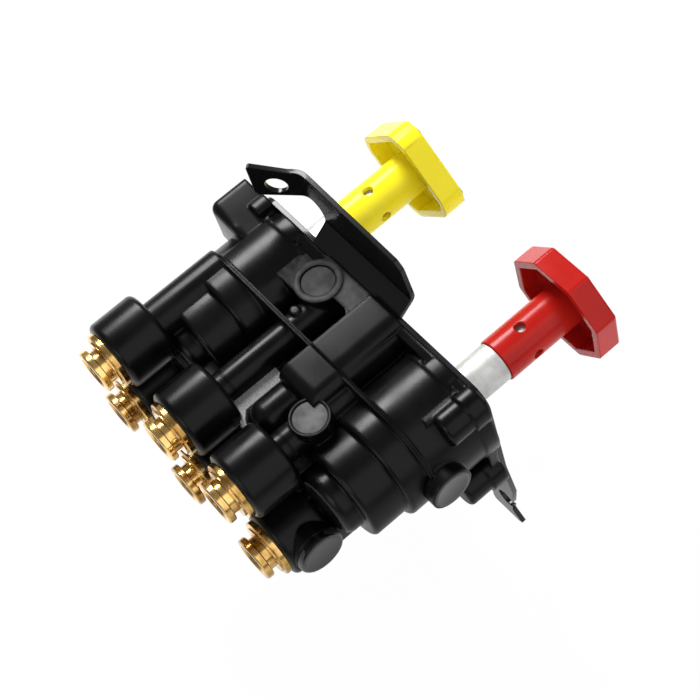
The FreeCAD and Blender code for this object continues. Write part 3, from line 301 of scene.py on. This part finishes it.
# %% Guide plastic and rubber
guide_white, tree, shader = new_finish("guide plastic", (0.74, 0.73, 0.69), 0.45)
bumped(tree, shader, object_noise(tree, 900, 2), strength=0.15, distance=0.05 * mm)
seal_rubber, tree, shader = new_finish("seal rubber", (0.02, 0.02, 0.02), 0.6)
bumped(tree, shader, object_noise(tree, 1800, 3), strength=0.3, distance=0.05 * mm)
print(len(bpy.data.materials), "materials so far")

# %% [markdown]
# The record of the CAD model says which finish each node has and which body it moves with. Every
# node gets its finish here: those inside the valve stay as they are, and the outer ones pass it on
# to their finer copies.

# %% A finish for every node
FINISHES = {
    "bracket_black": bracket_black, "body_black": body_black, "knob_yellow": knob_yellow,
    "knob_red": knob_red, "stem_aluminium": stem_aluminium, "pin_steel": pin_steel,
    "guide_white": guide_white, "seal_rubber": seal_rubber, "spring_steel": spring_steel,
    "plug_grey": plug_grey, "plug_black": plug_black, "fitting_brass": fitting_brass,
    "screw_steel": screw_steel,
}
SLOT_OF = {entry["node"]: entry["material_slot"] for entry in frame["record"]["subparts"]}
BODY_OF = {node: body for body, nodes in frame["record"]["behaviour"]["bodies"].items()
           for node in nodes}
for name, node in frame["nodes"].items():
    node.data.materials.clear()
    node.data.materials.append(FINISHES[SLOT_OF[name]])


# %% [markdown]
# A CAD mesh is made of loose triangles and is never changed, so the pieces that the camera sees
# are dressed copies. The copy is welded, its sharp edges get a small rounding, as any moulded or
# deburred edge has, and it is shaded smooth by angle. The rounding could come from the shading
# alone, but real faces also catch the light at the outline.

# %% A dressed copy of a node
WELD = 0.002 * mm
FLAT_ANGLE = math.radians(0.5)


def only(piece):
    """Select one object alone, as most operators expect."""
    bpy.ops.object.select_all(action="DESELECT")
    piece.select_set(True)
    bpy.context.view_layer.objects.active = piece


def dressed(node_name, rounding, segments=2, angle=32, shape=None, limit="ANGLE"):
    """A welded copy of a CAD node with edges rounded in mm, standing for that node."""
    only(frame["nodes"][node_name])
    bpy.ops.object.duplicate()
    piece = bpy.context.view_layer.objects.active
    piece.name = "dressed_" + node_name
    piece.data.name = piece.name
    bpy.ops.object.mode_set(mode="EDIT")
    bpy.ops.mesh.select_all(action="SELECT")
    bpy.ops.mesh.remove_doubles(threshold=WELD)
    bpy.ops.mesh.dissolve_limited(angle_limit=FLAT_ANGLE)
    bpy.ops.object.mode_set(mode="OBJECT")
    if piece.data.has_custom_normals:
        bpy.ops.mesh.customdata_custom_splitnormals_clear()
    if shape:
        shape(piece)
    bpy.ops.object.shade_smooth_by_angle(angle=math.radians(angle - 6))
    if rounding:
        edge = piece.modifiers.new("edge rounding", "BEVEL")
        edge.limit_method = limit
        edge.angle_limit = math.radians(angle)
        edge.width = rounding * mm
        edge.segments = segments
        edge.miter_outer = "MITER_ARC"
        edge.harden_normals = True
        bpy.ops.object.modifier_apply(modifier=edge.name)
    for words in [k for k in piece.keys() if k.startswith("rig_")]:
        del piece[words]
    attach(piece, BODY_OF[node_name])
    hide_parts(node_name)
    print(piece.name, len(piece.data.polygons), "faces")
    return piece


# %% [markdown]
# The end block and the flange of the front housing don't have level tops, because a mould needs
# draft to let go of them. A modifier could taper them, but a few moved corners do the same. The
# slope also keeps these tops from mirroring the lamp as flat faces would.

# %% Front housing
FLANGE_BACK, FLANGE_TOP, FLANGE_DROP = 4.5, 25.0, 1.5
BLOCK_INNER, BLOCK_OUTER, BLOCK_BACK = 57.9, 80.6, 19.2
BLOCK_FOOT, BLOCK_TOP, BLOCK_DROP = 15.0, 25.5, 3.2
NEAR = 0.05


def draft_tops(piece):
    """Slope the tops of the end block and the flange, in mm, as mould draft does."""
    for vertex in piece.data.vertices:
        x, y, z = (v / mm for v in vertex.co)
        in_block = BLOCK_INNER < x < BLOCK_OUTER and y < BLOCK_BACK
        if in_block and BLOCK_FOOT < z < BLOCK_TOP + 2 * NEAR:
            share = ((BLOCK_OUTER - x) / (BLOCK_OUTER - BLOCK_INNER)
                     * (z - BLOCK_FOOT) / (BLOCK_TOP - BLOCK_FOOT))
            vertex.co.z -= BLOCK_DROP * share * mm
        elif abs(y - FLANGE_BACK) < NEAR and abs(z - FLANGE_TOP) < NEAR:
            vertex.co.z -= FLANGE_DROP * mm


front_housing = dressed("front_housing", 0.35, shape=draft_tops)

# %% [markdown]
# The other visible pieces need nothing more than their own rounding, in millimetres: more for a
# moulding or the sheet of the bracket, less for turned stems, pins and plugs.

# %% Rear housing, bracket, plugs, stems and pins
EDGE_ROUNDING = {
    "rear_housing": 0.35, "mounting_bracket": 0.5,
    "plug_top_front": 0.25, "plug_top_rear": 0.25,
    "plunger_park": 0.2, "plunger_supply": 0.2,
    "knob_pin_park": 0.2, "knob_pin_supply": 0.2,
}
for name, rounding in EDGE_ROUNDING.items():
    dressed(name, rounding)


# %% [markdown]
# Some level tops of the mouldings are grained and grey. This helper marks the faces that point
# straight up inside given boxes, and the finishes read the mark.

# %% Grained flats
LEVEL = 0.998
EVERYWHERE = [(-90, 90, -90, 90, -90, 90)]


def paint_flats(piece, boxes):
    """Mark the level faces inside some boxes, in mm, as left rough by the mould."""
    mesh = piece.data
    marks = mesh.attributes.new("grained", "FLOAT", "FACE")
    for face in mesh.polygons:
        x, y, z = (v / mm for v in face.center)
        level = face.normal.z > LEVEL
        inside = any(a <= x <= b and c <= y <= d and e <= z <= f for a, b, c, d, e, f in boxes)
        marks.data[face.index].value = 1.0 if level and inside else 0.0
    print(piece.name, "grained", sum(item.value > 0 for item in marks.data), "faces")


paint_flats(bpy.data.objects["dressed_plug_top_rear"], EVERYWHERE)
paint_flats(front_housing, [(-5, 40, 0, 21, 21, 27.2)])
paint_flats(bpy.data.objects["dressed_rear_housing"], [(-40, 70, 30, 70, 4.6, 5.4),
                                                       (-36, -16, 40, 62, 24, 25.6)])


# %% [markdown]
# The square yellow knob has soft corners and the eight-sided red one has crisp ones. Rounding every
# edge would also catch the cross holes and the hollow back. So only the corners between the side
# facets get a bevel weight, and the modifier rounds by weight.

# %% Knobs
OUTER_BAND = 1.6 * mm
ALONG_SHARE = 0.3
LEAST_TURN = 0.3


def side_corners(piece):
    """Weight the outer corners between a knob's side facets, which alone get the bevel."""
    work = bmesh.new()
    work.from_mesh(piece.data)
    weights = work.edges.layers.float.new("bevel_weight_edge")
    middle_x = sum(v.co.x for v in work.verts) / len(work.verts)
    reach = {v: math.hypot(v.co.x - middle_x, v.co.z) for v in work.verts}
    outside = max(reach.values()) - OUTER_BAND
    corners = 0
    for edge in work.edges:
        a, b = edge.verts
        along = abs(a.co.y - b.co.y) > ALONG_SHARE * edge.calc_length()
        outer = min(reach[a], reach[b]) > outside
        if along and outer and edge.calc_face_angle(0) > LEAST_TURN:
            edge[weights] = 1.0
            corners += 1
    print(piece.name, corners, "corner edges")
    work.to_mesh(piece.data)
    work.free()


dressed("knob_park", 3.0, segments=6, angle=28, shape=side_corners, limit="WEIGHT")
dressed("knob_supply", 1.0, segments=4, angle=28, shape=side_corners, limit="WEIGHT")

# %% [markdown]
# Each of the six ports has a brass collar and a release collet. Turned brass is only broken at
# its edges, so the rounding is small.

# %% Port fittings
PORTS = 6
for number in range(1, PORTS + 1):
    dressed("port_collar_%d" % number, 0.12)
    dressed("release_collet_%d" % number, 0.12)

# %% [markdown]
# A coil spring stays seated at its far end and gets shorter as the piece in front of it is pushed.
# A chain of bones could bend the wire, but a straight coil only closes up. So each spring is a
# dressed copy with a mesh of its own, and the middle of its far end, where it is seated, is worked
# out. The joint and its travel are listed, but nothing here squashes the coil.

# %% Spring copies and their seats
PLUNGER_TRAVEL = 13.0
POPPET_TRAVEL = 2.0
SPRINGS = (("return_spring_park", "park_push", 1, PLUNGER_TRAVEL),
           ("return_spring_supply", "supply_push", 1, PLUNGER_TRAVEL),
           ("interlock_spring", "interlock_lift", 2, POPPET_TRAVEL))
for node_name, joint, axis, travel in SPRINGS:
    coil = dressed(node_name, 0)
    spans = [[v.co[k] for v in coil.data.vertices] for k in range(3)]
    seat = [(min(span) + max(span)) / 2 for span in spans]
    seat[axis] = max(spans[axis])
    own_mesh(coil)


# %% [markdown]
# The two side plugs end in a moulded cap that covers the whole boss, with a soft rounded edge. A
# cylinder with a bevel would do for the edge, but the face is also slightly hollow. So a profile
# is drawn from the middle outwards and spun about the boss's axis, which is X.

# %% Side caps
X_AXIS = Vector((1, 0, 0))
Y_AXIS = Vector((0, 1, 0))
SPIN_STEPS = 64
SMOOTH_ANGLE = math.radians(35)


def spun(name, profile, centre):
    """Spin a profile of (radius, distance) points, in mm, about a line along X."""
    mesh = bpy.data.meshes.new(name)
    piece = bpy.data.objects.new(name, mesh)
    bpy.context.scene.collection.objects.link(piece)
    work = bmesh.new()
    points = [work.verts.new((Vector(centre) + X_AXIS * d + Y_AXIS * r) * mm) for r, d in profile]
    edges = [work.edges.new(pair) for pair in zip(points, points[1:])]
    bmesh.ops.spin(work, geom=points + edges, cent=Vector(centre) * mm, axis=X_AXIS,
                   angle=math.tau, steps=SPIN_STEPS, use_merge=True)
    bmesh.ops.remove_doubles(work, verts=work.verts, dist=0.001 * mm)
    bmesh.ops.recalc_face_normals(work, faces=work.faces)
    work.to_mesh(mesh)
    work.free()
    only(piece)
    bpy.ops.object.shade_smooth_by_angle(angle=SMOOTH_ANGLE)
    print(name, len(mesh.polygons), "faces")
    return piece


def cap_profile(radius, fillet=1.9, steps=5):
    """A hollow face, a rounded edge, a straight side and a narrow chamfer, in mm."""
    turns = [math.pi / 2 * k / steps for k in range(steps + 1)]
    edge = [(radius - fillet + fillet * math.sin(t), fillet - fillet * math.cos(t))
            for t in turns]
    face = [(0, 0.3), (radius - 2.6, 0.25)]
    side = [(radius, 3.0), (radius - 0.25, 3.25), (0, 3.3)]
    return face + edge + side


SIDE_CAPS = (("side_cap_front", "plug_side_front", 9.3, (-76.3, 27.0, 0.2)),
             ("side_cap_rear", "plug_side_rear", 10.4, (-52.9, 76.9, -17.9)))
for name, node_name, radius, centre in SIDE_CAPS:
    cap = spun(name, cap_profile(radius), centre)
    cap.data.materials.append(plug_black)
    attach(cap, BODY_OF[node_name])
    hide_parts(node_name)

# %% [markdown]
# Behind the rear cap the boss shows as a short sleeve, which widens a little towards the body. It
# is spun in the same way and belongs to the rear housing.

# %% Sleeve of the rear side boss
SLEEVE = [(0, 0), (10.3, 0), (10.6, 0.3), (10.7, 14.0), (0, 14.0)]
skirt = spun("side_boss_skirt", SLEEVE, (-49.5, 76.9, -17.9))
skirt.data.materials.append(body_black)
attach(skirt, BODY_OF["rear_housing"])


# %% [markdown]
# Between the middle tube and the domed passage the moulding has a flat web with a grained top, and
# the pocket behind the front plug has a rounded corner. A third web joins the rear side boss to the
# barrel above it. All three are small upright plates that are pushed up from their outline.

# %% Upright plates
PLATE_ROUNDING = 0.3


def upright(name, outline, low_z, high_z, finish):
    """A plate with an outline in X and Y, in mm, from a low to a high level."""
    mesh = bpy.data.meshes.new(name)
    piece = bpy.data.objects.new(name, mesh)
    bpy.context.scene.collection.objects.link(piece)
    work = bmesh.new()
    foot = work.faces.new([work.verts.new((x * mm, y * mm, low_z * mm)) for x, y in outline])
    grown = bmesh.ops.extrude_face_region(work, geom=[foot])["geom"]
    moved = [item for item in grown if isinstance(item, bmesh.types.BMVert)]
    bmesh.ops.translate(work, verts=moved, vec=(0, 0, (high_z - low_z) * mm))
    bmesh.ops.recalc_face_normals(work, faces=work.faces)
    work.to_mesh(mesh)
    work.free()
    only(piece)
    edge = piece.modifiers.new("edge rounding", "BEVEL")
    edge.width = PLATE_ROUNDING * mm
    edge.segments = 3
    edge.limit_method = "ANGLE"
    edge.angle_limit = SMOOTH_ANGLE
    bpy.ops.object.modifier_apply(modifier=edge.name)
    bpy.ops.object.shade_smooth_by_angle(angle=SMOOTH_ANGLE)
    mesh.materials.append(finish)
    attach(piece, BODY_OF["rear_housing"])
    print(name, len(mesh.polygons), "faces")
    return piece


# %% [markdown]
# The first web is the lightest flat of the whole body, so it has a finish of its own: an even grey
# grain. That grey is painted light. It is far paler than the black moulding, and stands in for the
# lamp light that the tube beside it shades off. Its outline follows the wall of the dome.

# %% Grained web between the passages, painted lit
# Painted light: a pale grey on a black moulding, lit in its colour rather than by the lamps.
web_painted_lit, tree, shader = new_finish("grained web painted lit", (0.2, 0.2, 0.2), 0.7)
tint(tree, object_noise(tree, 1500, 4), (0.17, 0.17, 0.17), (0.29, 0.29, 0.285),
     shader.inputs["Base Color"])
bumped(tree, shader, object_noise(tree, 1300, 4), strength=0.4, distance=0.1 * mm)
WEB_OUTLINE = [(0.2, 44.5), (7.2, 44.5), (7.2, 69.0), (-1.0, 69.0), (-6.5, 71.2),
               (-6.8, 69.0), (-3.0, 67.4), (0.2, 64.5)]
upright("passage_web", WEB_OUTLINE, 3.0, 14.5, web_painted_lit)

# %% [markdown]
# The corner of the pocket is a quarter circle, cut out of a small block: an arc of points closes
# the outline. The web at the side boss is a plain block that only fills the gap.

# %% Corner of the pocket and web at the side boss
CORNER = 4.5
ARC_STEPS = 8
arc = [(-3.0 + CORNER - CORNER * math.sin(t), 11.0 + CORNER - CORNER * math.cos(t))
       for t in (math.pi / 2 * k / ARC_STEPS for k in range(ARC_STEPS + 1))]
corner = upright("pocket_corner", [(-3.4, 10.6)] + arc, 6.0, 26.05, body_black)
paint_flats(corner, EVERYWHERE)
BOSS_WEB_OUTLINE = [(-50.3, 56.5), (-38.0, 56.5), (-38.0, 70.0), (-50.3, 70.0)]
upright("boss_web", BOSS_WEB_OUTLINE, -25.0, -14.0, body_black)

# %% [markdown]
# The photograph looks at the valve from above and behind, with a long lens. The camera's place
# and its three directions come from a fit of the valve's own corners to the picture, and so does
# the focal length, in pixels of a picture 700 wide.

# %% Camera
camera_data = bpy.data.cameras.new("camera")
camera = bpy.data.objects.new("camera", camera_data)
bpy.context.scene.collection.objects.link(camera)
right = Vector((-0.629, -0.755, -0.188))
up = Vector((0.605, -0.626, 0.492))
back = Vector((-0.489, 0.195, 0.850))
turn = Matrix((right, up, back)).transposed()
camera.matrix_world = Matrix.Translation(Vector((-0.3806, 0.1673, 0.6608))) @ turn.to_4x4()
IMAGE = 700
FOCAL = 1956.5
camera_data.sensor_fit = "HORIZONTAL"
camera_data.sensor_width = 36.0
camera_data.lens = FOCAL / IMAGE * camera_data.sensor_width
bpy.context.scene.camera = camera
print("camera with a lens of", round(camera_data.lens, 1), "mm")


# %% [markdown]
# The product stands on plain white. A Light Path node tells what kind of ray looks at a surface.
# The camera and clear rays see plain white, and glossy rays see only a small share of it, so that
# the black mouldings stay deep. All other rays meet matt white, on which the soft shadow falls.

# %% White for the camera
def white_share(tree, camera_share, glossy_share):
    """How much plain white a ray sees: one share for camera and clear rays, one for glossy ones."""
    path = tree.nodes.new("ShaderNodeLightPath")
    total = None
    for words, share in (("Is Camera Ray", camera_share), ("Is Glossy Ray", glossy_share),
                         ("Is Transmission Ray", camera_share)):
        part = tree.nodes.new("ShaderNodeMath")
        part.operation = "MULTIPLY"
        part.inputs[1].default_value = share
        tree.links.new(path.outputs[words], part.inputs[0])
        if total is None:
            total = part.outputs[0]
            continue
        most = tree.nodes.new("ShaderNodeMath")
        most.operation = "MAXIMUM"
        tree.links.new(total, most.inputs[0])
        tree.links.new(part.outputs[0], most.inputs[1])
        total = most.outputs[0]
    return total


def mixed_with_white(tree, plain, white, share, target):
    """Show the white shader to a share of the rays and the plain one to the rest."""
    blend = tree.nodes.new("ShaderNodeMixShader")
    tree.links.new(share, blend.inputs["Fac"])
    tree.links.new(plain.outputs[0], blend.inputs[1])
    tree.links.new(white.outputs[0], blend.inputs[2])
    tree.links.new(blend.outputs[0], target)


# %% [markdown]
# The floor lies a little below the valve, so that its shadow is soft, and reaches far past the
# picture's edge. Nearly all of it is white to the camera, and the rest keeps the shadow.

# %% Floor
FLOOR_GAP = 0.03
FLOOR_SIZE = 8
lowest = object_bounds()[0][2]
bpy.ops.mesh.primitive_plane_add(size=FLOOR_SIZE, location=(0, 0, lowest - FLOOR_GAP))
floor = bpy.context.object
floor.name = "floor"
ground, tree, shader = new_finish("white ground", (0.93, 0.93, 0.93), 0.9)
glow = tree.nodes.new("ShaderNodeEmission")
glow.inputs["Color"].default_value = (1, 1, 1, 1)
glow.inputs["Strength"].default_value = 1.0
mixed_with_white(tree, shader, glow, white_share(tree, 0.97, 0.06),
                 tree.nodes["Material Output"].inputs["Surface"])
floor.data.materials.append(ground)
print("floor at", round(lowest - FLOOR_GAP, 4))

# %% [markdown]
# The world fills the shadows with an even, weak light. Its plain white, like that of the floor, is
# there for the camera and adds next to nothing to the light on the valve.

# %% World
world = bpy.data.worlds.new("studio")
bpy.context.scene.world = world
world.use_nodes = True
tree = world.node_tree
sky = tree.nodes["Background"]
sky.inputs["Color"].default_value = (1, 1, 1, 1)
sky.inputs["Strength"].default_value = 0.34
bright = tree.nodes.new("ShaderNodeBackground")
bright.inputs["Color"].default_value = (1, 1, 1, 1)
bright.inputs["Strength"].default_value = 1.0
mixed_with_white(tree, sky, bright, white_share(tree, 1.0, 0.04),
                 tree.nodes["World Output"].inputs["Surface"])
print("world with", len(tree.nodes), "nodes")


# %% [markdown]
# Three soft boxes light the valve, as in a small studio. The key box stands high on the +X side
# and draws the long highlights on the barrels, a wide one on the other side softens the shadows,
# and a weak one behind lights the brass fittings. Sun or point lamps would draw hard spots instead.

# %% Lamps
def soft_box(name, place, target, side, watts):
    """A square area lamp that looks at a target."""
    lamp = bpy.data.lights.new(name, "AREA")
    lamp.shape = "RECTANGLE"
    lamp.size = side
    lamp.size_y = side
    lamp.energy = watts
    box = bpy.data.objects.new(name, lamp)
    bpy.context.scene.collection.objects.link(box)
    box.location = place
    box.rotation_mode = "QUATERNION"
    box.rotation_quaternion = (Vector(target) - Vector(place)).to_track_quat("-Z", "Y")
    print(name, watts, "W")


middle = Vector((0.0, 0.02, 0.0))
soft_box("key_box", (0.61, -0.17, 0.64), middle, side=0.30, watts=11)
soft_box("side_box", (-0.70, -0.10, 0.55), middle, side=1.0, watts=4.5)
soft_box("rear_box", (-0.25, 0.75, 0.45), middle, side=0.4, watts=2)

# %% [markdown]
# The plain Standard view shows colours as they are written.

# %% Colour view
bpy.context.scene.view_settings.view_transform = "Standard"
